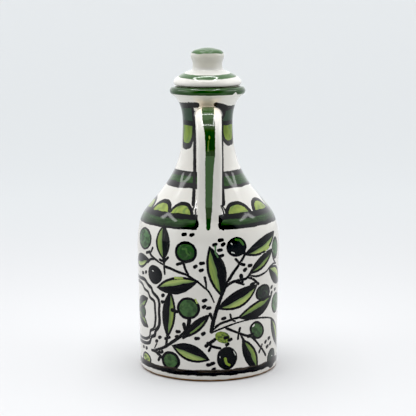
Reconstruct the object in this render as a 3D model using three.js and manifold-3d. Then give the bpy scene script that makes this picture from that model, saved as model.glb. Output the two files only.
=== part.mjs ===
// Olive oil jug: a thrown ceramic jug with a strap handle, and the knobbed lid that rests on its rim.
// Millimetres, +Z up. The origin is the middle of the flat base, and the handle stands towards -Y.
import * as THREE from 'three';
import { mergeVertices } from 'three/addons/utils/BufferGeometryUtils.js';
import Module from 'manifold-3d';

// Foot and wall
const FOOT_RADIUS = 42.4;          // flat base
const FOOT_EDGE_HEIGHT = 3.2;      // rounded lower edge
const WALL_FOOT_RADIUS = 44.8;     // wall just above that edge
const BELLY_RADIUS = 46;           // widest ring, where the shoulder starts
const BELLY_HEIGHT = 78;

// Shoulder and neck: two curves that meet on one slope, then the flare under the rim
const SHOULDER_RADIUS = 30.7;
const SHOULDER_HEIGHT = 115;
const SHOULDER_SLOPE = THREE.MathUtils.degToRad(52);
const SHOULDER_PULLS = [23.5, 17.5];   // how far the belly's and the slope's directions carry on
const NECK_PULLS = [14.9, 22.6];
const NECK_RADIUS = 16;            // narrowest ring
const NECK_HEIGHT = 159.4;
const FLARE_PULL = 12.6;

// Rim: a bead round the mouth, with a level seat inside it
const BEAD_RADIUS = 21.3;          // to the middle of the bead
const BEAD_HEIGHT = 180.1;
const BEAD_HALF_WIDTH = 3;
const BEAD_HALF_HEIGHT = 3.2;
const BEAD_UNDERSIDE = THREE.MathUtils.degToRad(-75);   // where the flare runs into the bead
const SEAT_HEIGHT = BEAD_HEIGHT + BEAD_HALF_HEIGHT;

// Lid: a domed disc and a knob that widens upwards
const LID_UNDERSIDE_RADIUS = 19.6;
const LID_RADIUS = 21.75;
const LID_EDGE_HEIGHT = SEAT_HEIGHT + 1.8;    // widest ring of the disc
const LID_DOME_HEIGHT = SEAT_HEIGHT + 9.8;    // where the dome turns up into the knob
const LID_DOME_PULLS = [3.2, 6];
const LID_DOME_SLOPE = THREE.MathUtils.degToRad(20);
const KNOB_ROOT_RADIUS = 10.2;
const KNOB_WAIST_RADIUS = 9.45;
const KNOB_WAIST_HEIGHT = SEAT_HEIGHT + 13.4;
const KNOB_RADIUS = 10.75;
const KNOB_RADIUS_HEIGHT = SEAT_HEIGHT + 18.8;
const KNOB_CROWN_RADIUS = 6.35;    // where the rounded edge turns into the shallow crown
const KNOB_CROWN_HEIGHT = SEAT_HEIGHT + 22.95;
const KNOB_EDGE_DROP = 0.8;        // how far the rounded edge's corner lies below the crown's rim
const KNOB_TOP = SEAT_HEIGHT + 23.9;

// Handle: a rounded strap along a curve, as [reach from the axis, height] of its middle
const STRAP_WIDTH = 15.3;
const STRAP_THICKNESS = 7.2;
const STRAP_ROUNDNESS = 2.3;       // exponent of its section: 2 is an ellipse, more is squarer
const STRAP_ROUTE = [
  [10, 163.2], [16, 166.5], [22.9, 167.6], [33.4, 164.75], [41.05, 157.1], [43.9, 146.6],
  [43.5, 142], [41.8, 133.1], [40.1, 123.1], [38.8, 115], [38.1, 109], [37.8, 102], [37.6, 92],
];
const TOP_BEND_EXTRA = 0.05;       // the strap is a little wider over its top bend
const TOP_BEND_SHARE = 0.25;       // where along its length that bend is
const TOP_BEND_SPREAD = 0.1;
const ROOT_EXTRA = 0.35;           // and flares where it joins the neck
const ROOT_REACH = 0.08;           // share of its length over which that flare dies away

// Rows and sides of the meshes
const BODY_ROWS = { footEdge: 4, shoulder: 10, neck: 9, flare: 5, bead: 9 };
const LID_ROWS = { edge: 4, dome: 7, waist: 4, knobSide: 4, knobEdge: 5, crown: 3 };
const JUG_SIDES = 72;
const LID_SIDES = 56;
const STRAP_SIDES = 20;
const STRAP_STEPS = 40;

const wasm = await Module();
wasm.setup();

const at = (radius, height) => new THREE.Vector2(radius, height);

// A cubic curve that leaves start along startAway and arrives at end along endAway, given as vectors
function leanCurve(start, startAway, end, endAway) {
  return new THREE.CubicBezierCurve(start, start.clone().add(startAway), end.clone().sub(endAway), end);
}

// Points of a curve after its first one, so that joined curves share no point
const rows = (curve, count) => curve.getPoints(count).slice(1);

// Turn an outline about the vertical axis
function turned(outline, sides) {
  const geometry = new THREE.LatheGeometry(outline, sides);
  geometry.rotateX(Math.PI / 2);
  return geometry;
}

// A closed mesh as a solid that can be joined
function solidOf(geometry) {
  geometry.deleteAttribute('normal');
  geometry.deleteAttribute('uv');
  const merged = mergeVertices(geometry, 1e-4);
  const corners = [];
  for (let i = 0; i < merged.index.count; i += 3) {
    const [a, b, c] = [0, 1, 2].map((k) => merged.index.getX(i + k));
    if (a !== b && b !== c && c !== a) corners.push(a, b, c);
  }
  const vertProperties = new Float32Array(merged.attributes.position.array);
  const triVerts = new Uint32Array(corners);
  return new wasm.Manifold(new wasm.Mesh({ numProp: 3, vertProperties, triVerts }));
}

function meshOf(name, solid, material) {
  const { vertProperties, triVerts } = solid.getMesh();
  const geometry = new THREE.BufferGeometry();
  geometry.setAttribute('position', new THREE.BufferAttribute(vertProperties, 3));
  geometry.setIndex(new THREE.BufferAttribute(triVerts, 1));
  geometry.computeVertexNormals();
  const mesh = new THREE.Mesh(geometry, material);
  mesh.name = name;
  return mesh;
}

// The thrown body: foot, wall, shoulder, neck, flare, bead and seat
function makeBody() {
  const foot = at(FOOT_RADIUS, 0);
  const wallFoot = at(WALL_FOOT_RADIUS, FOOT_EDGE_HEIGHT);
  const belly = at(BELLY_RADIUS, BELLY_HEIGHT);
  const shoulder = at(SHOULDER_RADIUS, SHOULDER_HEIGHT);
  const neck = at(NECK_RADIUS, NECK_HEIGHT);
  const slope = at(-Math.cos(SHOULDER_SLOPE), Math.sin(SHOULDER_SLOPE));
  const slopeBy = (pull) => slope.clone().multiplyScalar(pull);
  const bead = new THREE.EllipseCurve(
    BEAD_RADIUS, BEAD_HEIGHT, BEAD_HALF_WIDTH, BEAD_HALF_HEIGHT, BEAD_UNDERSIDE, Math.PI / 2);
  const footEdge = new THREE.QuadraticBezierCurve(foot, at(WALL_FOOT_RADIUS, 0), wallFoot);
  const shoulderCurve = leanCurve(belly, at(0, SHOULDER_PULLS[0]), shoulder, slopeBy(SHOULDER_PULLS[1]));
  const neckCurve = leanCurve(shoulder, slopeBy(NECK_PULLS[0]), neck, at(0, NECK_PULLS[1]));
  const flareCorner = at(NECK_RADIUS, NECK_HEIGHT + FLARE_PULL);
  const flare = new THREE.QuadraticBezierCurve(neck, flareCorner, bead.getPoint(0));
  return turned([
    at(0, 0), foot, ...rows(footEdge, BODY_ROWS.footEdge), belly, ...rows(shoulderCurve, BODY_ROWS.shoulder),
    ...rows(neckCurve, BODY_ROWS.neck), ...rows(flare, BODY_ROWS.flare), ...rows(bead, BODY_ROWS.bead),
    at(0, SEAT_HEIGHT),
  ], JUG_SIDES);
}

// The strap's width at a share of its length, as a factor of STRAP_WIDTH
function strapWidth(share) {
  const root = Math.exp(-share / ROOT_REACH);
  const topBend = Math.exp(-(((share - TOP_BEND_SHARE) / TOP_BEND_SPREAD) ** 2));
  return 1 + ROOT_EXTRA * root + TOP_BEND_EXTRA * topBend;
}

function makeStrap() {
  const route = new THREE.CatmullRomCurve3(
    STRAP_ROUTE.map(([reach, height]) => new THREE.Vector3(0, -reach, height)), false, 'centripetal');
  const rounded = (value) => Math.sign(value) * Math.abs(value) ** (2 / STRAP_ROUNDNESS);
  const section = new THREE.Shape();
  for (let i = 0; i < STRAP_SIDES; i += 1) {
    const angle = (i / STRAP_SIDES) * 2 * Math.PI;
    const x = (STRAP_WIDTH / 2) * rounded(Math.cos(angle));
    const y = (STRAP_THICKNESS / 2) * rounded(Math.sin(angle));
    if (i === 0) section.moveTo(x, y);
    else section.lineTo(x, y);
  }
  section.closePath();
  const strap = new THREE.ExtrudeGeometry(section, { steps: STRAP_STEPS, extrudePath: route });
  const middles = route.getSpacedPoints(STRAP_STEPS);
  const corners = strap.attributes.position;
  for (let i = 0; i < corners.count; i += 1) {
    const inPlane = new THREE.Vector3(0, corners.getY(i), corners.getZ(i));
    const gaps = middles.map((middle) => middle.distanceTo(inPlane));
    const step = gaps.indexOf(Math.min(...gaps));
    corners.setX(i, corners.getX(i) * strapWidth(step / STRAP_STEPS));
  }
  return strap;
}

// The lid rests on the seat with its flat underside
function makeLid() {
  const underside = at(LID_UNDERSIDE_RADIUS, SEAT_HEIGHT);
  const edge = at(LID_RADIUS, LID_EDGE_HEIGHT);
  const knobRoot = at(KNOB_ROOT_RADIUS, LID_DOME_HEIGHT);
  const waist = at(KNOB_WAIST_RADIUS, KNOB_WAIST_HEIGHT);
  const knob = at(KNOB_RADIUS, KNOB_RADIUS_HEIGHT);
  const crown = at(KNOB_CROWN_RADIUS, KNOB_CROWN_HEIGHT);
  const top = at(0, KNOB_TOP);
  const domeEnd = at(-Math.cos(LID_DOME_SLOPE), Math.sin(LID_DOME_SLOPE)).multiplyScalar(LID_DOME_PULLS[1]);
  const edgeCurve = new THREE.QuadraticBezierCurve(underside, at(LID_RADIUS, SEAT_HEIGHT), edge);
  const dome = leanCurve(edge, at(0, LID_DOME_PULLS[0]), knobRoot, domeEnd);
  const rise = (KNOB_ROOT_RADIUS - KNOB_WAIST_RADIUS) * Math.tan(LID_DOME_SLOPE);
  const waistCorner = at(KNOB_WAIST_RADIUS, LID_DOME_HEIGHT + rise);
  const waistCurve = new THREE.QuadraticBezierCurve(knobRoot, waistCorner, waist);
  const knobPull = at(0, (KNOB_RADIUS_HEIGHT - KNOB_WAIST_HEIGHT) / 3);
  const knobSide = leanCurve(waist, knobPull, knob, knobPull);
  const knobCorner = at(KNOB_RADIUS, KNOB_CROWN_HEIGHT - KNOB_EDGE_DROP);
  const knobEdge = new THREE.QuadraticBezierCurve(knob, knobCorner, crown);
  const crownCurve = new THREE.QuadraticBezierCurve(crown, at(KNOB_CROWN_RADIUS / 2, KNOB_TOP), top);
  return turned([
    at(0, SEAT_HEIGHT), underside, ...rows(edgeCurve, LID_ROWS.edge), ...rows(dome, LID_ROWS.dome),
    ...rows(waistCurve, LID_ROWS.waist), ...rows(knobSide, LID_ROWS.knobSide),
    ...rows(knobEdge, LID_ROWS.knobEdge), ...rows(crownCurve, LID_ROWS.crown),
  ], LID_SIDES);
}

const glaze = new THREE.MeshStandardMaterial({ color: 0xe9e6e1, roughness: 0.2, metalness: 0 });
const greenTrimmedGlaze = new THREE.MeshStandardMaterial({ color: 0xe2e3dc, roughness: 0.2, metalness: 0 });

const oilJug = new THREE.Group();
oilJug.add(meshOf('jug', solidOf(makeBody()).add(solidOf(makeStrap())), glaze));
oilJug.add(meshOf('lid', solidOf(makeLid()), greenTrimmedGlaze));

export default oilJug;
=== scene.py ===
"""Olive oil jug: a thrown ceramic jug with a strap handle and a knobbed lid, brushed with olive sprigs.

Settings are in metres, and the sizes and tables at the top in millimetres unless they say otherwise.
+Z is up, and the handle stands towards -Y. The brushwork is placed on the unrolled wall: u runs round the
jug from the middle of the handle, to the right as the photo shows it, and z is the height.
"""

import math

import bmesh
import bpy
import numpy as np
from bpy.props import FloatProperty, FloatVectorProperty, PointerProperty
from mathutils import Matrix, Vector
from mathutils.geometry import interpolate_bezier
from mathutils.kdtree import KDTree


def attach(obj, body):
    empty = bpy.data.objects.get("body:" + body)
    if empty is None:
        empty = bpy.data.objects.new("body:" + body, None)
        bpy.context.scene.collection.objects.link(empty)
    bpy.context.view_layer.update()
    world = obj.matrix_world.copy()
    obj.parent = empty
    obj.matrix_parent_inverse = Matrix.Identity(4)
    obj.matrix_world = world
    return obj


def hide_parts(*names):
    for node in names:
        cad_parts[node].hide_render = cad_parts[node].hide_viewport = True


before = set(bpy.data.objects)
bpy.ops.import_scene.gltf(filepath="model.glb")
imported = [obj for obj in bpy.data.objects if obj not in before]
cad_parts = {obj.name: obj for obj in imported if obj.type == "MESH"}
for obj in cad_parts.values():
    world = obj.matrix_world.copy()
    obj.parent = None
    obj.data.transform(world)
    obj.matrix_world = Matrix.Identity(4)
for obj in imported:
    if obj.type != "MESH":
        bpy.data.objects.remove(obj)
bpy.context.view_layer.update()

bl_info = {
    "name": "Olive oil jug",
    "version": (1, 0, 0),
    "blender": (4, 5, 0),
    "location": "3D View > Sidebar > Oil jug",
    "description": "Builds a brushed ceramic oil jug with its lid and a light box to show it in",
    "category": "Object",
}

MM = 0.001

# Fineness of the meshes
JUG_SIDES, LID_SIDES, STRAP_SIDES = 300, 180, 48
CURVE_STEPS = 25       # between two given points of a curve
STROKE_SPACING = 0.8   # between the points of a brush stroke
STRAP_SPACING = 0.95   # and between the strap's sections
SEAM_OUT = 0.02        # points that stand out more than this are past the joint
SEAM_WELD = 0.3        # points of the joint nearer than this become one
SEAM_LEAST = 40        # fewest points of a joint that is whole
ROOT_ROUNDS = 22       # rounds of smoothing at the joint
ROOT_TAPER = 0.8       # share of the smoothing's reach that is lost by the last round

# Where brushwork goes
WALL = 46.0            # radius at which the wall is unrolled
SHOULDER = 40.0        # and the shoulder
NECK = 17.0            # and the upper neck
MARGIN = 2.5           # how far past its edge a mark is noted on the faces round it
UNMARKED = 99.0        # place of a corner that no mark comes near
SEED_STEP = 0.618      # from one mark's noise seed to the next
ON_BODY = 3.0          # faces that stand out less than this count as the body's
ON_STRAP = 0.6         # faces that stand out more than this count as the strap's
STRIPE_LOW = 111       # below this height the stripe runs on over the strap's root
ROOT_TOP = 114.0       # below this height ink runs on over the strap's root


def tint(red, green, blue):
    """A colour given in screen values from 0 to 255, as Blender's linear values."""
    shares = [value / 255 for value in (red, green, blue)]
    return tuple(s / 12.92 if s <= 0.04045 else ((s + 0.055) / 1.055) ** 2.4 for s in shares)


LIME = tint(130, 151, 62)
PALE_LIME = tint(166, 184, 100)
# Painted light: a paler lime for the leaves near the jug's sides, where more light falls
SIDE_PAINTED_LIGHT_LIME = tint(188, 204, 122)
PETAL_LIME = tint(148, 166, 80)
OLIVE_LIME = tint(122, 144, 60)
LEAF_GREEN = tint(68, 104, 52)
MID_GREEN = tint(68, 100, 60)
PALE_GREEN = tint(84, 118, 80)
DEEP_GREEN = tint(40, 78, 32)
SHADE_GREEN = tint(50, 66, 46)
SWIRL_GREEN = tint(90, 122, 72)
STRIPE_GREEN = tint(60, 82, 50)
# Painted shade: a deeper green where the stripe shows no reflection
STRIPE_PAINTED_SHADE = tint(45, 64, 33)
# Painted reflection: a paler green where the stripe mirrors the bright floor
STRIPE_PAINTED_SHEEN = tint(66, 92, 57)
BLACK = tint(20, 20, 21)
GREY_BLACK = tint(42, 44, 44)
GLINT = tint(206, 208, 202)
SPECK_LIME = tint(104, 126, 74)
# Painted light: a lighter ground for the flare, which faces down
FLARE_PAINTED_LIGHT = tint(226, 224, 217)
# Painted light: a warm, lighter ground above the strap's upper root, against the shade there
STRAP_TOP_PAINTED_LIGHT = tint(250, 236, 214)
BAND_LIGHT = tint(60, 92, 50)
BAND_EDGE = tint(26, 38, 22)
RIM_LIGHT = tint(68, 96, 60)
FIELD_GREEN = tint(54, 72, 57)
LID_LIGHT = tint(82, 114, 70)
# Painted shade: a darker white for the upper dome and the knob, which face up
DOME_PAINTED_SHADE = tint(196, 195, 190)
# Painted shade: a darker, warmer white for the knob, laid on most at its front
KNOB_PAINTED_SHADE = tint(194, 191, 178)

# Brush sizes
LEAF_LINE = 0.85           # half width of a leaf's outline
OLIVE_LINE = 1.2           # how many times as wide as given an olive's outline is
THICK_STEM = 0.96          # a stem wider than this stays as given
STEM_EXTRA = 1.2           # how many times as wide as given other stems are
SEPAL_EXTRA = 1.4          # and those with only two points
DOT_WIDTHS = (1.2, 1.05)   # half width of a dot at both ends
DOT_REACHES = (0.85, 0.7, 0.55)
DOT_LEANS = (6, 19, 32)    # degrees; every third dot is alike
PETAL_SWIRL = 0.8          # how much a petal's fill is swirled
OLIVE_SWIRL = 0.7          # an olive's is below this

# Leaves: base u and z, tip u and z, half width, which side is dark (1 is left of base to tip), bow, fill;
# leaves near the sides take a paler fill as painted light
LEFT_LEAVES = (
    (-30.0, 77.2, -31.6, 98.2, 5.0, -1, 0.3, LIME),
    (-44.5, 75, -66.5, 70.2, 4.0, -1, 0.0, SIDE_PAINTED_LIGHT_LIME),
    (-7.0, 64.9, -35.5, 58.4, 4.7, 1, 0.5, PALE_LIME),
    (-28.0, 27.7, -25.2, 56.9, 4.4, 1, 0.2, LIME),
    (-24.0, 22, 0.0, 14.5, 4.8, 1, 0.4, PALE_LIME),
    (-15.0, 29, 0.0, 43, 2.6, 1, 0.0, LIME),
)
RIGHT_LEAVES = (
    (8.0, 56, 1.0, 86.2, 5.2, -1, -0.8, LIME),
    (24.5, 80.7, 54.0, 90.7, 4.3, 1, -1.0, PALE_LIME),
    (28.0, 68.3, 49.5, 80.3, 3.3, 1, 0.0, LIME),
    (46.0, 68.7, 66.0, 57.2, 4.8, -1, 0.0, SIDE_PAINTED_LIGHT_LIME),
    (6.5, 47.5, 33.5, 59.7, 4.9, 1, -0.8, PALE_LIME),
    (20.0, 40.7, 49.6, 49.9, 4.4, -1, -1.0, LIME),
    (23.0, 25.7, 34.6, 4.2, 4.2, -1, 0.3, LIME),
    (50.0, 35.2, 63.5, 14.7, 3.8, -1, 0.0, SIDE_PAINTED_LIGHT_LIME),
)

# Olives: u, z, half width, half height, tilt in degrees, outline (below 0 is none), swirl, fill
LEFT_OLIVES = (
    (-50.3, 87.7, 9.0, 7.0, 0, 1.1, 0.6, PALE_GREEN),
    (-38.2, 66.3, 6.9, 6.2, 0, 1.0, 0.1, BLACK),
    (-14.2, 82.9, 7.3, 6.8, 0, 1.4, 0.4, DEEP_GREEN),
    (-13.0, 47.3, 7.6, 7.2, 0, 1.4, 0.5, MID_GREEN),
    (-26.1, 12, 7.3, 6.1, 0, 1.5, 0.5, MID_GREEN),
    (-50.5, 9, 6.6, 4.2, 0, 1.0, 0.5, PALE_LIME),
)
RIGHT_OLIVES = (
    (18.4, 85.9, 6.8, 6.3, 0, 1.0, 0.1, BLACK),
    (40.0, 54, 7.5, 5.5, 0, 1.0, 0.3, GREY_BLACK),
    (55.0, 80.7, 5.5, 7.0, 0, 1.0, 0.6, PALE_GREEN),
    (57.5, 44.2, 7.5, 6.7, 0, 1.0, 0.6, PALE_GREEN),
    (34.6, 30.5, 7.2, 5.4, -35, 1.2, 0.6, MID_GREEN),
    (12.0, 15, 6.9, 7.5, 0, 1.0, 0.1, BLACK),
    (51.8, 8.7, 6.6, 6.6, 0, 1.0, 0.3, GREY_BLACK),
    (9.0, 28.9, 5.1, 3.6, -25, -1.0, 0.5, LIME),
)

# Stems and sepals: half width at both ends, then the points they pass through
LEFT_STEMS = (
    (1.02, 0.54, ((-29.5, 72.7), (-25, 71.9), (-20, 70.3), (-14, 68.7), (-10, 66.5), (-6, 63.9),
                  (-3, 61.3), (0, 58.7), (2, 55.2), (3.6, 51.5))),
    (1.08, 0.72, ((-30, 77.7), (-29.6, 71.7), (-29.3, 67.9))),
    (0.72, 0.6, ((-33, 76.5), (-30.3, 75.7))),
    (0.72, 0.6, ((-29.3, 76), (-26.5, 78.7))),
    (0.6, 0.84, ((-30.5, 73.7), (-36, 75.7), (-41, 77.9), (-43.2, 80))),
    (0.72, 0.72, ((-46.5, 79.1), (-42.5, 80.3))),
    (0.6, 0.6, ((-42.3, 79.3), (-39.7, 83.3))),
    (0.72, 0.72, ((-38, 76.5), (-42, 75.5), (-45.5, 73.2))),
    (0.84, 0.72, ((-13, 69), (-14.7, 72.7), (-15.7, 76.2))),
    (0.72, 0.72, ((-20, 74.9), (-15.6, 76.5))),
    (0.72, 0.72, ((-15.4, 76.3), (-11, 78))),
    (0.72, 0.48, ((-2.2, 67.3), (-1.4, 63.2), (-1.3, 60))),
    (0.96, 0.72, ((-24, 45.3), (-20.3, 44.5))),
    (0.72, 1.2, ((-43, 15.9), (-36.5, 17.7), (-30, 20.7), (-25, 24.1), (-20, 27.7), (-16, 30.9),
                 (-13.3, 34.7), (-12.3, 39.7))),
    (0.96, 0.96, ((-29.2, 21.2), (-28.8, 24.7), (-28.3, 28))),
    (0.84, 0.72, ((-29.8, 25.9), (-26.3, 27.3))),
    (0.72, 0.96, ((-43.2, 16.1), (-38.5, 15.7), (-35.5, 14.5), (-33, 12.9))),
    (0.96, 0.84, ((-37, 15.3), (-32.7, 17))),
    (0.72, 0.72, ((-36.3, 10.9), (-34.3, 13.7))),
    (0.36, 0.36, ((-40, 18), (-37.5, 21.7))),
    (0.96, 0.84, ((-15.9, 36.7), (-14.6, 32.2))),
    (0.96, 0.84, ((-13, 30.5), (-16.5, 28.3))),
)
RIGHT_STEMS = (
    (1.38, 0.96, ((2, 32.7), (2.7, 37.7), (4.2, 43.2), (5.8, 48.7), (8.2, 55.2), (11, 61.7), (15, 68.5),
                  (20, 74.9), (24, 80.7))),
    (0.72, 0.6, ((1.1, 44), (2.6, 40.7))),
    (0.72, 0.72, ((24, 80.7), (22.6, 84.2))),
    (0.72, 0.72, ((17.6, 78.1), (20.4, 75.1))),
    (0.72, 0.72, ((20, 75.3), (23.4, 74.1))),
    (0.84, 0.84, ((10, 60.3), (14.5, 63.5), (20, 64.7), (25, 65.2), (28.3, 68))),
    (1.2, 0.84, ((18.5, 63.9), (23.2, 61.7))),
    (0.96, 0.96, ((21.3, 67.4), (22, 63.2))),
    (0.72, 0.72, ((26.5, 65.7), (30, 64.5), (33, 62), (35.2, 60.5))),
    (0.72, 0.6, ((28.8, 60.9), (32.5, 62))),
    (0.6, 0.48, ((28, 66.7), (33, 65.6), (38, 66), (43, 67.3), (47, 69.5), (52, 70.7), (57, 70.1))),
    (0.6, 0.6, ((49.5, 80), (51, 75.2), (55, 70.7))),
    (0.72, 0.72, ((2, 33.3), (7, 37.3), (13, 39.3), (20.5, 40.9))),
    (0.6, 0.6, ((14, 43.2), (15, 39.9), (17.2, 38.5))),
    (0.54, 0.48, ((2, 32.1), (10, 35.1), (20, 37.7), (30, 38.5), (40, 37.7), (49, 35.6), (56, 31.7))),
    (0.72, 0.66, ((11, 34.8), (15.5, 32.6), (20, 30.7), (24.5, 28.7), (29, 27.1), (32, 24.9), (36, 20.7),
                  (40, 16.7), (43.5, 12.3))),
    (0.66, 0.6, ((20.7, 33.7), (19.3, 27))),
    (0.6, 0.6, ((21, 30), (23.3, 25.9))),
    (0.6, 0.6, ((39.2, 20.1), (36.6, 15.7))),
    (0.84, 0.72, ((27, 27.7), (30.5, 28.5))),
    (1.32, 1.08, ((-1.5, 23.5), (4, 27.5))),
    (1.08, 0.84, ((-0.5, 25.2), (2, 23.3), (7.5, 21.7))),
    (0.72, 0.6, ((1.6, 23.7), (0.3, 20.2))),
)

# Dots of the brush
LEFT_DOTS = (
    (-15.5, 93.9), (-10.3, 93.9), (-8, 74.2), (-3.8, 76.3), (-4.3, 71.9), (-31, 53.9), (-31.3, 49.5),
    (-2.3, 52.7), (-2.6, 48.7), (-20, 31.7), (-20.8, 28.4), (-3.2, 31.4), (-7.3, 28.2), (-34.5, 26),
    (-37.6, 23.1), (-55, 15.7), (-50, 16), (-48, 66.3), (-52.5, 65),
)
RIGHT_DOTS = (
    (8, 90.7), (4.2, 88), (9.5, 88), (7.4, 84.5), (8.3, 80.9), (24.2, 71), (28, 73.2), (50, 55.7),
    (50, 52), (56, 53.2), (9.8, 40.9), (43.3, 21.3), (47.5, 22.7), (45.5, 17.7), (49.5, 18.9), (0.3, 11.2),
    (2.7, 12.1), (3.3, 8.3), (11.5, 28.4), (14, 26.9), (12.2, 24), (0.2, 47.9),
)

# Touches of colour over the ink: colour, half width at both ends, then the points
LEFT_TOUCHES = (
    (LEAF_GREEN, 0.7, 0.5, ((-16.2, 84.9), (-13.9, 85), (-13.7, 82.9), (-12, 81.3))),
    (GLINT, 0.4, 0.3, ((-40.4, 68.4), (-39.4, 68.3))),
    (PALE_LIME, 0.6, 0.5, ((-8, 53.1), (-7.2, 51.1))),
    (PALE_LIME, 0.7, 0.5, ((-21.5, 66.3), (-16.5, 66.5))),
)
RIGHT_TOUCHES = (
    (LEAF_GREEN, 0.9, 0.7, ((17.8, 90.5), (20.6, 89.9), (22.8, 87.1))),
    (GLINT, 0.35, 0.3, ((14.7, 88.4), (15.2, 87.7))),
    (GLINT, 0.35, 0.3, ((15, 82.7), (16.6, 82.1))),
    (LIME, 0.9, 0.7, ((10.8, 14.7), (11.6, 11.8), (13.6, 10.5))),
    (GLINT, 0.3, 0.3, ((7.3, 16.5), (7.4, 15.7))),
    (GLINT, 0.3, 0.25, ((16.4, 19.3), (17.7, 16.7))),
    (GLINT, 0.3, 0.3, ((52, 10.2), (53, 9.7))),
    (PALE_LIME, 0.8, 0.6, ((41.5, 81.3), (45.5, 82.7))),
    (PALE_GREEN, 0.6, 0.5, ((4.4, 86.9), (4.6, 82.7), (6, 80.2))),
)

# At the back the right sprigs stand once more, this far round
BACK_SHIFT = 68.5

# The framed field beside the sprigs is centred here, and the right half of its two lines is drawn
FRAME_MIDDLE = -WALL * math.pi / 2
FRAME_LINES = (
    (1.2, ((-72.3, 60.5), (-60, 60.7), (-50, 60.9), (-45.5, 58.3), (-42, 57), (-40.5, 54.5), (-36, 51.7),
           (-34.6, 49.2), (-34.8, 41.7), (-34.6, 35.7), (-36, 32.2), (-38.6, 29.7), (-39.5, 26.5),
           (-43.3, 24.7), (-45.5, 20.7), (-50, 19.3), (-60, 18.5), (-72.3, 18.2))),
    (1.05, ((-72.3, 56.9), (-58, 57.9), (-53.5, 56.9), (-51, 54.9), (-46, 53.7), (-43.8, 50.7),
            (-39.3, 48.7), (-38.6, 43.7), (-38.4, 36.7), (-40.3, 30.7), (-44, 28.7), (-45.5, 24.5),
            (-50, 22.3), (-60, 21.3), (-72.3, 20.7))),
)
FRAME_LEAVES = (
    (-66.0, 39.7, -47.0, 49.2, 3.6, 1, 0.3, LIME),
    (-66.0, 37.7, -47.5, 30.7, 3.4, -1, 0.3, PALE_LIME),
    (-78.0, 40.2, -97.0, 48.2, 3.6, -1, 0.3, LIME),
    (-78.0, 37.7, -96.5, 30.7, 3.4, 1, 0.3, PALE_LIME),
)
FRAME_OLIVES = (
    (-54.5, 39.5, 5.0, 4.2, 10, 1.1, 0.4, DEEP_GREEN),
    (-90.0, 39.5, 5.0, 4.2, -10, 1.0, 0.1, BLACK),
    (-72.2, 46.7, 4.4, 4.8, 0, 1.1, 0.5, MID_GREEN),
)
FRAME_STEMS = (
    (0.6, 0.6, ((-85, 38.5), (-78, 37.7), (-72.2, 38.9), (-66, 38.1), (-59.5, 38.7))),
    (0.6, 0.5, ((-72.2, 38.9), (-72.2, 41.9))),
    (0.6, 0.6, ((-72.2, 38.9), (-71.6, 32.7), (-73, 28.2))),
)

# Petals as angle, half width in degrees, height of the outer end, outline
SHOULDER_PETALS = (
    (-84, 16.5, 112.5, 2.1), (-53, 16, 112.7, 2.2), (-27, 13.5, 112.5, 2.1), (31, 15.5, 112.5, 2.2),
    (64, 17, 112.6, 2.2), (96, 16.5, 112.3, 2.1), (127, 16.5, 112.6, 2.2), (158, 16.5, 112.3, 2.1),
    (190, 17, 112.6, 2.2), (221, 16.5, 112.3, 2.1), (250, 15.5, 112.5, 2.2),
)
NECK_PETALS = (
    (-56, 24, 143.1, 1.7), (58, 25, 145.5, 1.7), (108, 24, 144.3, 1.6), (156, 24, 143.9, 1.7),
    (204, 24, 144.5, 1.6), (254, 25, 143.9, 1.7),
)

# Where the petals grow from, where they are cut off, and how square they are
SHOULDER_PETAL_ROOT, SHOULDER_PETAL_CUT, SHOULDER_PETAL_SQUARENESS = 103.5, 102.9, 2.2
NECK_PETAL_ROOT, NECK_PETAL_CUT, NECK_PETAL_SQUARENESS = 159.7, 160.1, 3.2

# Strokes on the shoulder and the neck, as half widths and points of angle and height
SHOULDER_STROKES = (
    (0.6, 0.7, ((-14.5, 110.3), (-15.6, 106.7), (-13.8, 104.3))),
    (0.6, 0.7, ((14.5, 110.7), (17, 107.7), (17.6, 104.7))),
)
NECK_STROKES = (
    (1.5, 3.0, ((16.5, 172.3), (22, 171.3), (28, 170))),
    (3.0, 1.1, ((28, 170), (40, 169.6), (54, 169.4))),
    (1.1, 1.9, ((54, 169.4), (90, 169.6), (135, 170.7), (180, 170.3), (225, 171.1), (270, 170.7),
                (300, 171.1), (325, 171.6), (338, 171.9))),
    (1.0, 1.0, ((-33, 169.7), (-33, 164.7), (-33, 159.7))),
    (2.4, 0.9, ((36, 169.2), (38, 166.5), (37, 163.8))),
    (0.7, 0.5, ((-37, 172.3), (-39, 173.2))),
)

# The two upright lines on the neck behind the handle: half widths at both ends, then x at these heights
UPRIGHT_HEIGHTS = (167.7, 157.7, 147.7, 137.7, 125.7, 117.7, 111.2)
UPRIGHT_LINES = (
    (0.75, 1.15, (-8.5, -8.4, -8.3, -8.3, -8.4, -8.8, -9.2)),
    (0.65, 1.15, (9.1, 9.1, 9.1, 9.1, 9.1, 9.3, 9.7)),
)

# The curls where the shoulder's bands end beside the strap's lower root, with points of x and height
CURLS = (
    (0.4, 0.7, ((-7.3, 111.5), (-7.7, 108.1), (-7.4, 104.1), (-6.3, 100.7), (-6.6, 98.9), (-9, 97.7))),
    (0.4, 0.7, ((8.1, 111.5), (9.2, 108.1), (9.9, 104.9), (8.6, 102.3), (6.9, 100.3), (7.3, 98.3),
                (9.5, 97))),
)

# The strap's middle as reach from the axis and height, and its sideways sway as share of its length and x
STRAP_ROUTE = (
    (10, 163.2), (16, 166.5), (22.9, 167.6), (33.4, 164.75), (41.05, 157.1), (43.9, 146.6), (43.5, 142),
    (41.8, 133.1), (40.1, 123.1), (38.8, 115), (38.1, 109), (37.8, 102), (37.6, 92),
)
STRAP_SWAY = ((0, 0.3), (0.22, 0.4), (0.5, 1.1), (0.75, 1.0), (1, 0.8))

# How much wider the strap is at its upper root and over what share of its length, and the same at its bend
ROOT_EXTRA, ROOT_REACH = 0.35, 0.08
BEND_EXTRA, BEND_SHARE, BEND_SPREAD = 0.05, 0.25, 0.1
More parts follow.
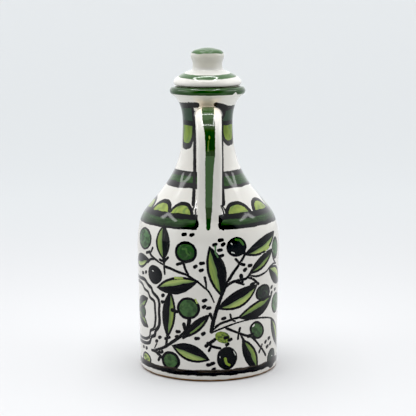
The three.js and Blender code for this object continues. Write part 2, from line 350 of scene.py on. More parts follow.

# Stripe down the strap: half widths, then points of x and height, then fill, whose darker and paler greens
# are painted shade and painted reflection; and two light specks in it
STRIPE = (
    (3.85, 3.75, ((0.2, 178), (0.2, 170), (0.5, 165)), STRIPE_GREEN),
    (3.75, 3.2, ((0.5, 165), (1.1, 160), (1.35, 156)), STRIPE_PAINTED_SHADE),
    (3.2, 2.95, ((1.35, 156), (1.5, 150), (1.5, 143.5)), STRIPE_PAINTED_SHADE),
    (2.95, 2.5, ((1.5, 143.5), (1.05, 138), (0.85, 131.5)), STRIPE_PAINTED_SHEEN),
    (2.5, 2.15, ((0.85, 131.5), (0.7, 122), (0.5, 110.5)), STRIPE_PAINTED_SHEEN),
    (2.15, 1.2, ((0.5, 110.5), (0.3, 104), (0.1, 97.8)), STRIPE_PAINTED_SHADE),
)
SPECKS = (
    (0.5, 0.4, ((1.0, 155.1), (1.1, 153.9)), PALE_LIME),
    (0.5, 0.45, ((0.5, 152.5), (0.3, 149.2), (0.2, 146.5)), SPECK_LIME),
)

# Bands that run round the jug, each between two heights
SHOULDER_BAND = (96.9, 105.8)
SHOULDER_FILL = (97.4, 103.4)
SHOULDER_LINE = (102.7, 107.0)
SHOULDER_UNDERLINE = (96.0, 98.2)
NECK_FILL = (121.3, 127.6)
NECK_LINE = (127.0, 130.0)
NECK_UNDERLINE = (120.0, 123.4)
FIELD_FILL = (160.0, 171.0)
FIELD_LINE = (158.4, 161.2)
FOOT_BAND = (3.8, 7.8)

# How far out they reach, where they end beside the strap in degrees, and how long a degree is there
SHOULDER_REACH, SHOULDER_END, SHOULDER_DEGREE = 45.0, 9.2, 0.75
NECK_REACH, FIELD_END, NECK_DEGREE = 33.0, 31.0, 0.3

# The rim's green starts at this height and radius, and has a notch; below BARE_TOP the clay is bare
BEAD_LOW, BEAD_INNER = 178.2, 20.8
NOTCH_TURN, NOTCH_DEPTH = 47.0, 1.7
BARE_TOP = 1.5

# The lid's ring between two radii, how far forward its middle is and its highest place; the knob's cap
LID_RING, LID_RING_FORWARD, LID_RING_TOP = (14.8, 18.6), 1.7, 200.0
CAP_LOW = 203.6

# Light box, in metres: shift of the overhead frame, places of the side strips, and the fill light
STRIP_SHIFT = (-0.025, -0.01)
RAIL_Y, POST_Y = -0.048, 0.018
FILL_PLACE, FILL_AIM, FILL_SIZE = Vector((0, -0.48, 0.68)), Vector((0, 0, 0.1)), (0.6, 0.5)

# Directions in which its top and its open side set in, distances of the floor's far part, and their colours
TOP_RANGE, FRONT_RANGE, FAR_RANGE = (0.4, 0.9), (0.4, 0.72), (0.15, 0.8)
WALL_COLOUR, FAR_COLOUR = (0.97, 0.985, 1.0), (0.8, 0.98, 1.0)
SENSOR = 36


def length(name, description, millimetres):
    """A length setting in metres, with its default given in millimetres."""
    return FloatProperty(
        name=name, description=description, default=millimetres * MM, min=0, unit="LENGTH", precision=5)


def pulls(name, description, first, second):
    """How far a curve carries on in its first and last direction, given in millimetres."""
    return FloatVectorProperty(
        name=name, description=description, default=(first * MM, second * MM), size=2, unit="LENGTH",
        precision=5)


def angle(name, description, degrees):
    return FloatProperty(name=name, description=description, default=math.radians(degrees), unit="ROTATION")


def colour(name, description, default):
    return FloatVectorProperty(
        name=name, description=description, default=default, size=3, min=0, max=1, subtype="COLOR")


def amount(name, description, default):
    return FloatProperty(name=name, description=description, default=default, min=0)


class OILJUG_PG_jug(bpy.types.PropertyGroup):
    """Sizes of the thrown body and its strap handle."""

    foot_radius: length("Foot radius", "Radius of the flat base", 42.4)
    foot_edge_height: length("Foot edge", "Height of the rounded lower edge", 3.2)
    wall_foot_radius: length("Wall foot radius", "Radius of the wall just above the foot edge", 44.8)
    belly_radius: length("Belly radius", "Widest ring, where the shoulder starts", 46)
    belly_height: length("Belly height", "Height of the widest ring", 78)
    shoulder_radius: length("Shoulder radius", "Ring where the shoulder turns into the neck", 30.7)
    shoulder_height: length("Shoulder height", "Height of that ring", 115)
    shoulder_slope: angle("Shoulder slope", "Steepness of the outline at that ring", 52)
    shoulder_pulls: pulls("Shoulder pulls", "Reach of the shoulder curve's end directions", 23.5, 17.5)
    neck_radius: length("Neck radius", "Narrowest ring", 16)
    neck_height: length("Neck height", "Height of the narrowest ring", 159.4)
    neck_pulls: pulls("Neck pulls", "Reach of the neck curve's end directions", 14.9, 22.6)
    flare_pull: length("Flare pull", "How far the neck carries on upright before it flares", 12.6)
    bead_radius: length("Bead radius", "From the axis to the middle of the rim's bead", 21.3)
    bead_height: length("Bead height", "Height of the middle of the bead", 180.1)
    bead_half_width: length("Bead half width", "Half the width of the bead", 3)
    bead_half_height: length("Bead half height", "Half the height of the bead", 3.2)
    bead_underside: angle("Bead underside", "Where the flare runs into the bead", -75)
    strap_width: length("Strap width", "Width of the handle's strap", 15.3)
    strap_thickness: length("Strap thickness", "Thickness of the handle's strap", 7.2)
    strap_roundness: amount("Strap roundness", "Exponent of its section; 2 is an ellipse", 2.3)
    root_softness: length("Root softness", "Reach of the smoothing where the strap is joined on", 5.5)


class OILJUG_PG_lid(bpy.types.PropertyGroup):
    """Sizes of the lid; heights are above the seat."""

    seat_height: length("Seat height", "Height of the seat that the lid rests on", 183.3)
    underside_radius: length("Underside radius", "Radius of the flat underside", 19.6)
    disc_radius: length("Disc radius", "Widest ring of the disc", 21.75)
    edge_height: length("Edge height", "Height of the widest ring", 1.8)
    dome_height: length("Dome height", "Where the dome turns up into the knob", 9.8)
    dome_pulls: pulls("Dome pulls", "Reach of the dome curve's end directions", 3.2, 6)
    dome_slope: angle("Dome slope", "Steepness of the dome at the knob", 20)
    root_radius: length("Knob root radius", "Radius where the dome turns up into the knob", 10.2)
    waist_radius: length("Knob waist radius", "Narrowest ring of the knob", 9.45)
    waist_height: length("Knob waist height", "Height of that ring", 13.4)
    knob_radius: length("Knob radius", "Widest ring of the knob", 10.75)
    knob_height: length("Knob height", "Height of that ring", 18.8)
    crown_radius: length("Crown radius", "Where the rounded edge turns into the shallow crown", 6.35)
    crown_height: length("Crown height", "Height of that ring", 22.95)
    edge_drop: length("Edge drop", "How far the rounded edge's corner lies below the crown's rim", 0.8)
    top_height: length("Top height", "Top of the knob", 23.9)


class OILJUG_PG_glaze(bpy.types.PropertyGroup):
    """Colours of the glaze and the brushwork, and its gloss."""

    ground: colour("Ground", "White ground under the clear glaze", tint(223, 221, 215))
    ground_shade: colour("Ground shade", "Where the ground is thinner", tint(208, 204, 196))
    ink: colour("Ink", "Brushed lines", tint(14, 13, 15))
    thin_ink: colour("Thin ink", "Streaks where the brush ran dry", tint(50, 49, 49))
    band_green: colour("Band green", "Band on the shoulder", tint(32, 58, 24))
    neck_green: colour("Neck green", "Band on the neck", tint(36, 64, 30))
    rim_green: colour("Rim green", "Bead of the rim", tint(43, 67, 37))
    lid_green: colour("Lid green", "Ring and knob top of the lid", tint(65, 92, 59))
    foot_ink: colour("Foot ink", "Thin brown-black streaks of the band above the foot", tint(74, 66, 58))
    clay: colour("Clay", "Unglazed clay of the foot", tint(136, 110, 84))
    roughness: amount("Roughness", "Roughness of the glaze", 0.07)


class OILJUG_PG_stage(bpy.types.PropertyGroup):
    """Camera and light box."""

    camera_distance: length("Camera distance", "From the jug's axis to the camera", 900)
    camera_height: length("Camera height", "Height of the camera", 250)
    camera_pitch: angle("Camera pitch", "How far the camera looks down", 9.24)
    camera_roll: angle("Camera roll", "Lean of the camera", -0.24)
    field_of_view: angle("Field of view", "Angle across the picture", 16.82)
    floor_size: length("Floor size", "Half the width of the floor", 60000)
    floor_colour: colour("Floor colour", "White floor of the light box", tint(218, 218, 219))
    strip_height: length("Strip height", "Height of the overhead frame of light strips", 560)
    strip_frame: pulls("Strip frame", "Width and depth of that frame", 240, 325)
    strip_width: length("Strip width", "Width of a light strip", 16)
    strip_power: amount("Strip power", "Power of a light strip, in watts for each metre", 1.05)
    side_reach: length("Side reach", "From the axis to the strips at both sides", 222)
    side_height: length("Side height", "Height of the strips at both sides", 301)
    side_width: length("Side width", "Width of those strips", 34)
    rail_length: length("Rail length", "Length of the level strip at each side", 126)
    post_length: length("Post length", "Length of the upright strip at each side", 66)
    side_power: amount("Side power", "Power of those strips, in watts for each metre", 0.5)
    top_fill: amount("Top fill", "Power of the soft fill light from above, which isn't mirrored", 0.54)
    black_level: amount("Black level", "Light level that the picture shows as black", 0.034)
    wall_light: amount("Wall light", "Brightness of the light box's walls", 1.3)
    top_light: amount("Top light", "Brightness of its top", 1.1)
    front_light: amount("Front light", "Brightness of its open side, behind the camera", 0.15)
    far_light: amount("Far light", "Brightness of the floor's far part, as of a lit back wall", 0.1)


class OILJUG_PG_settings(bpy.types.PropertyGroup):
    """All settings of the oil jug."""

    jug: PointerProperty(type=OILJUG_PG_jug, name="Jug", description="Body and handle")
    lid: PointerProperty(type=OILJUG_PG_lid, name="Lid", description="Lid and knob")
    glaze: PointerProperty(type=OILJUG_PG_glaze, name="Glaze", description="Colours and gloss")
    stage: PointerProperty(type=OILJUG_PG_stage, name="Stage", description="Camera and light box")


# Outlines and meshes

def ring(radius, height):
    """A point of an outline that is turned about the vertical axis."""
    return Vector((radius, 0, height))


def straight(start, end, rows):
    """Points of a straight line after its start."""
    return [start.lerp(end, row / rows) for row in range(1, rows + 1)]


def leaning(start, start_away, end, end_away, rows):
    """Points after start of a curve that leaves along start_away and arrives along end_away."""
    return interpolate_bezier(start, start + start_away, end - end_away, end, rows + 1)[1:]


def rounded(start, corner, end, rows):
    """Points after start of a curve that rounds a corner."""
    return interpolate_bezier(start, start.lerp(corner, 2 / 3), end.lerp(corner, 2 / 3), end, rows + 1)[1:]


def through(points, spacing):
    """Evenly spaced points of a smooth curve through the given ones: a centripetal Catmull-Rom curve."""
    given = np.asarray(points, dtype=float)
    given = np.vstack([2 * given[0] - given[1], given, 2 * given[-1] - given[-2]])
    knots = np.cumsum(np.r_[0, np.linalg.norm(np.diff(given, axis=0), axis=1) ** 0.5])
    share = np.linspace(0, 1, CURVE_STEPS)[:, None]
    fine = [given[1:2]]
    for i in range(1, len(given) - 2):
        before, start, end, after = given[i - 1:i + 3]
        t0, t1, t2, t3 = knots[i - 1:i + 3]
        chord = (end - start) / (t2 - t1)
        leave = (t2 - t1) * ((start - before) / (t1 - t0) - (end - before) / (t2 - t0) + chord)
        arrive = (t2 - t1) * (chord - (after - start) / (t3 - t1) + (after - end) / (t3 - t2))
        cubic = 2 * start - 2 * end + leave + arrive
        square = 3 * end - 3 * start - 2 * leave - arrive
        fine.append((((cubic * share + square) * share + leave) * share + start)[1:])
    fine = np.vstack(fine)
    run = np.cumsum(np.r_[0, np.linalg.norm(np.diff(fine, axis=0), axis=1)])
    even = np.linspace(0, run[-1], max(2, round(run[-1] / spacing) + 1))
    return np.column_stack([np.interp(even, run, axis) for axis in fine.T])


def body_outline(sizes):
    """The body's outline from the middle of the base to the middle of the seat."""
    foot = ring(sizes.foot_radius, 0)
    wall_foot = ring(sizes.wall_foot_radius, sizes.foot_edge_height)
    belly = ring(sizes.belly_radius, sizes.belly_height)
    shoulder = ring(sizes.shoulder_radius, sizes.shoulder_height)
    neck = ring(sizes.neck_radius, sizes.neck_height)
    slope = ring(-math.cos(sizes.shoulder_slope), math.sin(sizes.shoulder_slope))
    turns = np.linspace(sizes.bead_underside, math.pi / 2, 16)
    bead = [ring(sizes.bead_radius + sizes.bead_half_width * math.cos(turn),
                 sizes.bead_height + sizes.bead_half_height * math.sin(turn)) for turn in turns]
    outline = [ring(0, 0)]
    outline += straight(outline[-1], foot, 5)
    outline += rounded(foot, ring(sizes.wall_foot_radius, 0), wall_foot, 6)
    outline += straight(wall_foot, belly, 80)
    leave, arrive = sizes.shoulder_pulls
    outline += leaning(belly, ring(0, leave), shoulder, slope * arrive, 44)
    leave, arrive = sizes.neck_pulls
    outline += leaning(shoulder, slope * leave, neck, ring(0, arrive), 50)
    outline += rounded(neck, ring(sizes.neck_radius, sizes.neck_height + sizes.flare_pull), bead[0], 20)
    outline += bead[1:]
    outline += straight(outline[-1], ring(0, outline[-1].z), 4)
    return outline


def lid_outline(sizes):
    """The lid's outline from the middle of its underside to the top of the knob."""
    seat = sizes.seat_height
    underside = ring(sizes.underside_radius, seat)
    edge = ring(sizes.disc_radius, seat + sizes.edge_height)
    root = ring(sizes.root_radius, seat + sizes.dome_height)
    waist = ring(sizes.waist_radius, seat + sizes.waist_height)
    knob = ring(sizes.knob_radius, seat + sizes.knob_height)
    crown = ring(sizes.crown_radius, seat + sizes.crown_height)
    slope = ring(-math.cos(sizes.dome_slope), math.sin(sizes.dome_slope))
    root_corner = ring(waist.x, root.z + (root.x - waist.x) * math.tan(sizes.dome_slope))
    rise = ring(0, (sizes.knob_height - sizes.waist_height) / 3)
    top = seat + sizes.top_height
    outline = [ring(0, seat)]
    outline += straight(outline[-1], underside, 5)
    outline += rounded(underside, ring(sizes.disc_radius, seat), edge, 8)
    outline += leaning(edge, ring(0, sizes.dome_pulls[0]), root, slope * sizes.dome_pulls[1], 26)
    outline += rounded(root, root_corner, waist, 12)
    outline += leaning(waist, rise, knob, rise, 14)
    outline += rounded(knob, ring(sizes.knob_radius, crown.z - sizes.edge_drop), crown, 14)
    outline += rounded(crown, ring(sizes.crown_radius / 2, top), ring(0, top), 10)
    return outline


def write_mesh(bm, mesh):
    """Writes bm to a mesh, smoothly shaded and with its faces outward, and frees it."""
    bmesh.ops.recalc_face_normals(bm, faces=bm.faces)
    for face in bm.faces:
        face.smooth = True
    bm.to_mesh(mesh)
    bm.free()


def new_object(name, bm):
    """A mesh object from bm."""
    mesh = bpy.data.meshes.new(name)
    write_mesh(bm, mesh)
    made = bpy.data.objects.new(name, mesh)
    bpy.context.scene.collection.objects.link(made)
    return made


def turned(name, outline, sides):
    """An outline turned about the vertical axis."""
    bm = bmesh.new()
    verts = [bm.verts.new(point) for point in outline]
    edges = [bm.edges.new(pair) for pair in zip(verts, verts[1:])]
    bmesh.ops.spin(
        bm, geom=verts + edges, cent=(0, 0, 0), axis=(0, 0, 1), angle=math.tau, steps=sides, use_merge=True)
    bmesh.ops.remove_doubles(bm, verts=bm.verts, dist=1e-6)
    return new_object(name, bm)


def strap_stations(sizes):
    """The strap's sections along its route, each as the matrix that takes a unit circle there."""
    route = through([(-reach, height) for reach, height in STRAP_ROUTE], STRAP_SPACING) * MM
    shares = np.linspace(0, 1, len(route))
    sway = np.interp(shares, *zip(*STRAP_SWAY)) * MM
    heading = np.gradient(route, axis=0)
    stations = []
    for (y, z), share, x, (dy, dz) in zip(route, shares, sway, heading):
        along = Vector((0, dy, dz)).normalized()
        across = Vector((1, 0, 0))
        outward = along.cross(across)
        widening = 1 + ROOT_EXTRA * math.exp(-share / ROOT_REACH)
        widening += BEND_EXTRA * math.exp(-((share - BEND_SHARE) / BEND_SPREAD) ** 2)
        half_width, half_thickness = sizes.strap_width / 2 * widening, sizes.strap_thickness / 2
        section = Matrix((across * half_width, outward * half_thickness, along))
        stations.append(Matrix.Translation((x, y, z)) @ section.transposed().to_4x4())
    return stations


def strap(sizes):
    """The handle's strap: a rounded section drawn along its route."""
    stations = strap_stations(sizes)
    bm = bmesh.new()
    bmesh.ops.create_circle(bm, cap_ends=True, radius=1, segments=STRAP_SIDES)
    for vert in bm.verts:
        for axis in (0, 1):
            vert.co[axis] = math.copysign(abs(vert.co[axis]) ** (2 / sizes.strap_roundness), vert.co[axis])
    bmesh.ops.transform(bm, matrix=stations[0], verts=bm.verts)
    cap = list(bm.faces)
    for before, after in zip(stations, stations[1:]):
        drawn = bmesh.ops.extrude_face_region(bm, geom=cap)
        if before is not stations[0]:
            bmesh.ops.delete(bm, geom=cap, context="FACES_ONLY")
        cap = [item for item in drawn["geom"] if isinstance(item, bmesh.types.BMFace)]
        moved = [item for item in drawn["geom"] if isinstance(item, bmesh.types.BMVert)]
        bmesh.ops.transform(bm, matrix=after @ before.inverted(), verts=moved)
    return new_object("strap", bm)


def joined(body, other):
    """Joins other onto body and removes it."""
    union = body.modifiers.new("join", "BOOLEAN")
    union.operation = "UNION"
    union.solver = "MANIFOLD"
    union.object = other
    mesh = bpy.data.meshes.new_from_object(body.evaluated_get(bpy.context.evaluated_depsgraph_get()))
    body.modifiers.clear()
    spare = body.data
    body.data = mesh
    bpy.data.meshes.remove(spare)
    bpy.data.meshes.remove(other.data)


def standing_out(points, outline):
    """How far points stand out from the turned body, in the outline's unit."""
    side = [point for point in outline if point.x > 0 and point.z > 0]
    radius = np.interp(points[:, 2], [point.z for point in side], [point.x for point in side])
    return np.hypot(points[:, 0], points[:, 1]) - radius


def search_tree(points):
    """A tree that finds which of the points is nearest to a place."""
    tree = KDTree(len(points))
    for i, point in enumerate(points):
        tree.insert(point, i)
    tree.balance()
    return tree


def soften_roots(made, outline, reach):
    """Smooths the mesh round the line where the strap meets the body."""
    bm = bmesh.new()
    bm.from_mesh(made.data)
    on_strap = standing_out(np.array([vert.co for vert in bm.verts]), outline) > SEAM_OUT * MM
    seam = [
        vert for vert in bm.verts if not on_strap[vert.index]
        and any(on_strap[edge.other_vert(vert).index] for edge in vert.link_edges)
    ]
    if len(seam) < SEAM_LEAST:
        raise RuntimeError("The strap isn't joined to the body")
    bmesh.ops.remove_doubles(bm, verts=seam, dist=SEAM_WELD * MM)
    bmesh.ops.delete(bm, geom=[vert for vert in bm.verts if not vert.link_faces], context="VERTS")
    tree = search_tree([vert.co for vert in seam if vert.is_valid])
    gaps = [(tree.find(vert.co)[2], vert) for vert in bm.verts]
    for i in range(ROOT_ROUNDS):
        near = [vert for gap, vert in gaps if gap < reach * (1 - ROOT_TAPER * i / ROOT_ROUNDS)]
        bmesh.ops.smooth_vert(bm, verts=near, factor=0.5, use_axis_x=True, use_axis_y=True, use_axis_z=True)
    write_mesh(bm, made.data)


# Brush marks, each able to say where a point lies in it and how far outside it is

class Leaf:
    """A pointed leaf, whose place is from -1 to 1 along it and millimetres across it."""

    def __init__(self, base_u, base_z, tip_u, tip_z, half_width, dark_side, bow, fill):
        base, tip = np.array((base_u, base_z)), np.array((tip_u, tip_z))
        self.middle = (base + tip) / 2
        self.half_length = np.linalg.norm(tip - base) / 2
        self.along = (tip - base) / (2 * self.half_length)
        self.across = np.array((-self.along[1], self.along[0]))
        self.half_width, self.bow, self.fill = half_width, bow, fill
        self.size = (half_width, LEAF_LINE, dark_side)
        self.reach = np.full(2, self.half_length + half_width)

    def place(self, points):
        offset = points - self.middle
        along = offset @ self.along / self.half_length
        across = offset @ self.across - self.bow * (1 - along ** 2)
        over = np.maximum(np.abs(along) - 1, 0) * self.half_length
        width = self.half_width * np.maximum(1 - along ** 2, 0)
        gap = np.hypot(over, np.maximum(np.abs(across) - width, 0))
        inside = np.maximum(np.abs(along) - 1, np.abs(across) / self.half_width - 1)
        return along, across, np.where(gap > 0, gap, inside)


class Oval:
    """An olive or a petal, whose place is shares of its half width and half height."""

    def __init__(self, u, z, half_width, half_height, tilt, outline, swirl, fill, squareness=2.0):
        turn = math.radians(tilt)
        self.middle = np.array((u, z))
        self.half = np.array((half_width, half_height))
        self.axes = np.array(((math.cos(turn), -math.sin(turn)), (math.sin(turn), math.cos(turn))))
        self.fill, self.squareness = fill, squareness
        self.size = (min(half_width, half_height), outline, swirl)
        self.reach = np.full(2, max(half_width, half_height))

    def place(self, points):
        shares = (points - self.middle) @ self.axes / self.half
        out = (np.abs(shares) ** self.squareness).sum(axis=1) ** (1 / self.squareness)
        shares *= (out / np.maximum(np.hypot(*shares.T), 1e-9))[:, None]
        return *shares.T, (out - 1) * self.half.min()


class Stroke:
    """A brush stroke, whose place is millimetres along it and across it."""

    def __init__(self, start_width, end_width, points, fill=BLACK):
        self.points = through(points, STROKE_SPACING)
        steps = np.diff(self.points, axis=0)
        self.lengths = np.linalg.norm(steps, axis=1)
        self.ways = steps / self.lengths[:, None]
        self.run = np.cumsum(np.r_[0, self.lengths])
        self.fill = fill
        self.size = (self.run[-1], start_width, end_width)
        low, high = self.points.min(axis=0), self.points.max(axis=0)
        self.middle = (low + high) / 2
        self.reach = (high - low) / 2 + max(start_width, end_width)

    def place(self, points):
        offset = points[:, None] - self.points[:-1]
        along = np.einsum("psk,sk->ps", offset, self.ways)
        held = np.clip(along, 0, self.lengths)
        gaps = np.linalg.norm(offset - held[..., None] * self.ways, axis=2)
        nearest = gaps.argmin(axis=1)
        row = np.arange(len(points))
        offset, along, held = offset[row, nearest], along[row, nearest], held[row, nearest]
        first, last = nearest == 0, nearest == len(self.lengths) - 1
        held = np.where((first & (along < 0)) | (last & (along > held)), along, held)
        way = self.ways[nearest]
        across = way[:, 0] * offset[:, 1] - way[:, 1] * offset[:, 0]
        share = np.clip((self.run[nearest] + held) / self.size[0], 0, 1)
        width = self.size[1] + (self.size[2] - self.size[1]) * share
        return self.run[nearest] + held, across, gaps[row, nearest] - width


class Chart:
    """A mesh laid flat: where the middles of its faces and their corners lie, and which faces count."""

    def __init__(self, middles, corners, counts, turn=None):
        self.middles, self.corners, self.counts, self.turn = middles, corners, counts, turn

    def near(self, points, middle):
        """Points brought to within half a turn of a mark's middle."""
        if self.turn is None:
            return points
        wrapped = points.copy()
        wrapped[:, 0] = (points[:, 0] - middle[0] + self.turn / 2) % self.turn - self.turn / 2 + middle[0]
        return wrapped


def values_of(items, name, kind, count):
    """One value of all items of a mesh, in an array."""
    values = np.empty(count * len(items), dtype=kind)
    items.foreach_get(name, values)
    return values


class Canvas:
    """A mesh's face corners, on which brush marks are noted in layers for its glaze to draw."""

    def __init__(self, mesh, outline, stations):
        corners = values_of(mesh.loops, "vertex_index", np.int32, 1)
        starts = values_of(mesh.polygons, "loop_start", np.int32, 1)
        points = values_of(mesh.vertices, "co", np.float32, 3)
        self.mesh = mesh
        self.points = points.reshape(-1, 3)[corners] / MM
        counts = np.diff(np.r_[starts, len(corners)])
        self.face = np.repeat(np.arange(len(starts)), counts)
        self.middles = np.add.reduceat(self.points, starts, axis=0) / counts[:, None]
        self.out = standing_out(self.middles * MM, outline) / MM
        self.corner_out = standing_out(self.points * MM, outline) / MM
        self.on_strap = self.out > ON_STRAP
        self.outward = self.strap_side(stations)
        self.layers = {}
        self.marks = 0

    def strap_side(self, stations):
        """Whether each face lies on the outer side of the strap's middle."""
        tree = search_tree([(0, *station.translation.yz) for station in stations])
        outward = np.zeros(len(self.middles), dtype=bool)
        for i in np.flatnonzero(self.on_strap):
            place = Vector((0, *self.middles[i, 1:])) * MM
            spot, station, _ = tree.find(place)
            outward[i] = (place - spot).dot(stations[station].col[1].xyz) > 0
        return outward

    def unrolled(self, radius):
        """The body's faces unrolled at a radius in millimetres."""
        flat = [
            np.column_stack([np.arctan2(place[:, 0], -place[:, 1]) * radius, place[:, 2]])
            for place in (self.middles, self.points)
        ]
        return Chart(*flat, self.out < ON_BODY, math.tau * radius)

    def front(self, counts):
        """Some of the faces as seen from the front, as x and height."""
        return Chart(self.middles[:, ::2], self.points[:, ::2], counts & (self.middles[:, 1] < 0))

    def note(self, layer, chart, mark, low=-np.inf, high=np.inf):
        """Notes a mark on the faces near it between two heights, where no mark of its layer is nearer."""
        store = self.layers.get(layer)
        if store is None:
            store = self.layers[layer] = {
                "gap": np.full(len(self.middles), MARGIN),
                "place": np.full((len(self.points), 3), UNMARKED),
                "size": np.tile((1.0, 0.0, 0.0), (len(self.points), 1)),
                "fill": np.zeros((len(self.points), 3)),
            }
        middles = chart.near(chart.middles, mark.middle)
        inside = (np.abs(middles - mark.middle) < mark.reach + MARGIN).all(axis=1)
        near = np.flatnonzero(chart.counts & inside & (middles[:, 1] > low) & (middles[:, 1] < high))
        gap = mark.place(middles[near])[2]
        better = gap < store["gap"][near]
        store["gap"][near[better]] = gap[better]
        chosen = np.zeros(len(self.middles), dtype=bool)
        chosen[near[better]] = True
        corners = np.flatnonzero(chosen[self.face])
        first, second, _ = mark.place(chart.near(chart.corners[corners], mark.middle))
        self.marks += 1
        seeds = np.full(len(corners), self.marks * SEED_STEP % 1)
        store["place"][corners] = np.column_stack([first, second, seeds])
        store["size"][corners] = mark.size
        store["fill"][corners] = mark.fill

    def keep(self):
        """Writes the layers, and how far corners stand out, to the mesh as attributes of its corners."""
        made = self.mesh.attributes.new("strap_out", "FLOAT", "CORNER")
        made.data.foreach_set("value", self.corner_out.astype(np.float32))
        for layer, store in self.layers.items():
            for part in ("place", "size", "fill"):
                made = self.mesh.attributes.new(f"{layer}_{part}", "FLOAT_VECTOR", "CORNER")
                made.data.foreach_set("vector", store[part].astype(np.float32).ravel())


def brush_sprigs(canvas, wall, leaves, olives, stems, dots, touches, shift=0.0, mirror=None):
    """Brushes a group of sprigs on the wall, shifted along it or mirrored about a place."""
    turn = 1 if mirror is None else -1

    def put(u):
        return u + shift if mirror is None else 2 * mirror - u

    def moved(points):
        return [(put(u), z) for u, z in points]

    for base_u, base_z, tip_u, tip_z, half_width, dark_side, bow, fill in leaves:
        leaf = Leaf(put(base_u), base_z, put(tip_u), tip_z, half_width, dark_side * turn, bow * turn, fill)
        canvas.note("leaf", wall, leaf)
    for u, z, half_width, half_height, tilt, outline, swirl, fill in olives:
        olive = Oval(put(u), z, half_width, half_height, tilt * turn, outline * OLIVE_LINE, swirl, fill)
        canvas.note("oval", wall, olive)
    for start_width, end_width, points in stems:
        extra = 1.0 if start_width > THICK_STEM else SEPAL_EXTRA if len(points) == 2 else STEM_EXTRA
        canvas.note("stroke", wall, Stroke(start_width * extra, end_width * extra, moved(points)))
    for i, (u, z) in enumerate(moved(dots)):
        lean = math.radians(DOT_LEANS[i % 3]) * turn
        slip = np.array((math.cos(lean), math.sin(lean))) * DOT_REACHES[i % 3]
        canvas.note("stroke", wall, Stroke(*DOT_WIDTHS, [(u, z) - slip, (u, z) + slip]))
    for fill, start_width, end_width, points in touches:
        canvas.note("touch", wall, Stroke(start_width, end_width, moved(points), fill))


def brush_petals(canvas, chart, radius, petals, root, squareness, fill, **cut):
    """Brushes a row of petals that grow from a height and are cut off near it."""
    for middle, half_width, end, outline in petals:
        u, across = math.radians(middle) * radius, math.radians(half_width) * radius
        petal = Oval(u, root, across, abs(end - root), 0, outline, PETAL_SWIRL, fill, squareness)
        canvas.note("oval", chart, petal, **cut)


def brush_jug(canvas):
    """Brushes all of the jug's decoration onto its canvas."""
    wall, shoulder, neck = (canvas.unrolled(radius) for radius in (WALL, SHOULDER, NECK))
    height = canvas.middles[:, 2]
    behind_strap = canvas.front(canvas.out < ON_BODY)
    on_strap = canvas.front(canvas.outward | (~canvas.on_strap & (height < STRIPE_LOW)))
    round_root = canvas.front(height < ROOT_TOP)
    left = (LEFT_LEAVES, LEFT_OLIVES, LEFT_STEMS, LEFT_DOTS, LEFT_TOUCHES)
    right = (RIGHT_LEAVES, RIGHT_OLIVES, RIGHT_STEMS, RIGHT_DOTS, RIGHT_TOUCHES)
    brush_sprigs(canvas, wall, *left)
    brush_sprigs(canvas, wall, *right)
    brush_sprigs(canvas, wall, *left, mirror=FRAME_MIDDLE)
    brush_sprigs(canvas, wall, *right, shift=BACK_SHIFT)
    brush_sprigs(canvas, wall, FRAME_LEAVES, FRAME_OLIVES, FRAME_STEMS, (), ())
    for width, points in FRAME_LINES:
        canvas.note("stroke", wall, Stroke(width, width, points))
        mirrored = [(2 * FRAME_MIDDLE - u, z) for u, z in points]
        canvas.note("stroke", wall, Stroke(width, width, mirrored))
    brush_petals(canvas, shoulder, SHOULDER, SHOULDER_PETALS, SHOULDER_PETAL_ROOT,
                 SHOULDER_PETAL_SQUARENESS, PETAL_LIME, low=SHOULDER_PETAL_CUT)
    brush_petals(canvas, neck, NECK, NECK_PETALS, NECK_PETAL_ROOT, NECK_PETAL_SQUARENESS,
                 OLIVE_LIME, high=NECK_PETAL_CUT)
    for chart, radius, strokes in ((shoulder, SHOULDER, SHOULDER_STROKES), (neck, NECK, NECK_STROKES)):
        for start_width, end_width, points in strokes:
            placed = [(math.radians(turn) * radius, z) for turn, z in points]
            canvas.note("stroke", chart, Stroke(start_width, end_width, placed))
    for start_width, end_width, across in UPRIGHT_LINES:
        line = Stroke(start_width, end_width, list(zip(across, UPRIGHT_HEIGHTS)))
        canvas.note("line", behind_strap, line)
    for layer, chart, strokes in (
        ("stroke", round_root, CURLS), ("touch", on_strap, STRIPE), ("gleam", on_strap, SPECKS),
    ):
        for stroke in strokes:
            canvas.note(layer, chart, Stroke(*stroke))
    canvas.keep()


# Shaders

def math_operator(operation, swapped=False):
    """One of Python's operators on Value, which adds a Math node."""
    def operate(self, other=0.0):
        first, second = (other, self) if swapped else (self, other)
        return self.math(operation, first, second)
    return operate


class Value:
    """A shader socket as a number: Python's operators on it add Math nodes."""

    def __init__(self, shader, socket):
        self.shader, self.socket = shader, socket

    def math(self, operation, first, second=0.0):
        return self.shader.node("ShaderNodeMath", {"operation": operation}, {0: first, 1: second})

    __add__ = __radd__ = math_operator("ADD")
    __sub__ = math_operator("SUBTRACT")
    __rsub__ = math_operator("SUBTRACT", swapped=True)
    __mul__ = math_operator("MULTIPLY")
    __truediv__ = math_operator("DIVIDE")
    __pow__ = math_operator("POWER")
    __abs__ = math_operator("ABSOLUTE")

    def __neg__(self):
        return self * -1.0


def least(first, *others):
    for other in others:
        first = first.math("MINIMUM", first, other)
    return first


def most(first, *others):
    for other in others:
        first = first.math("MAXIMUM", first, other)
    return first


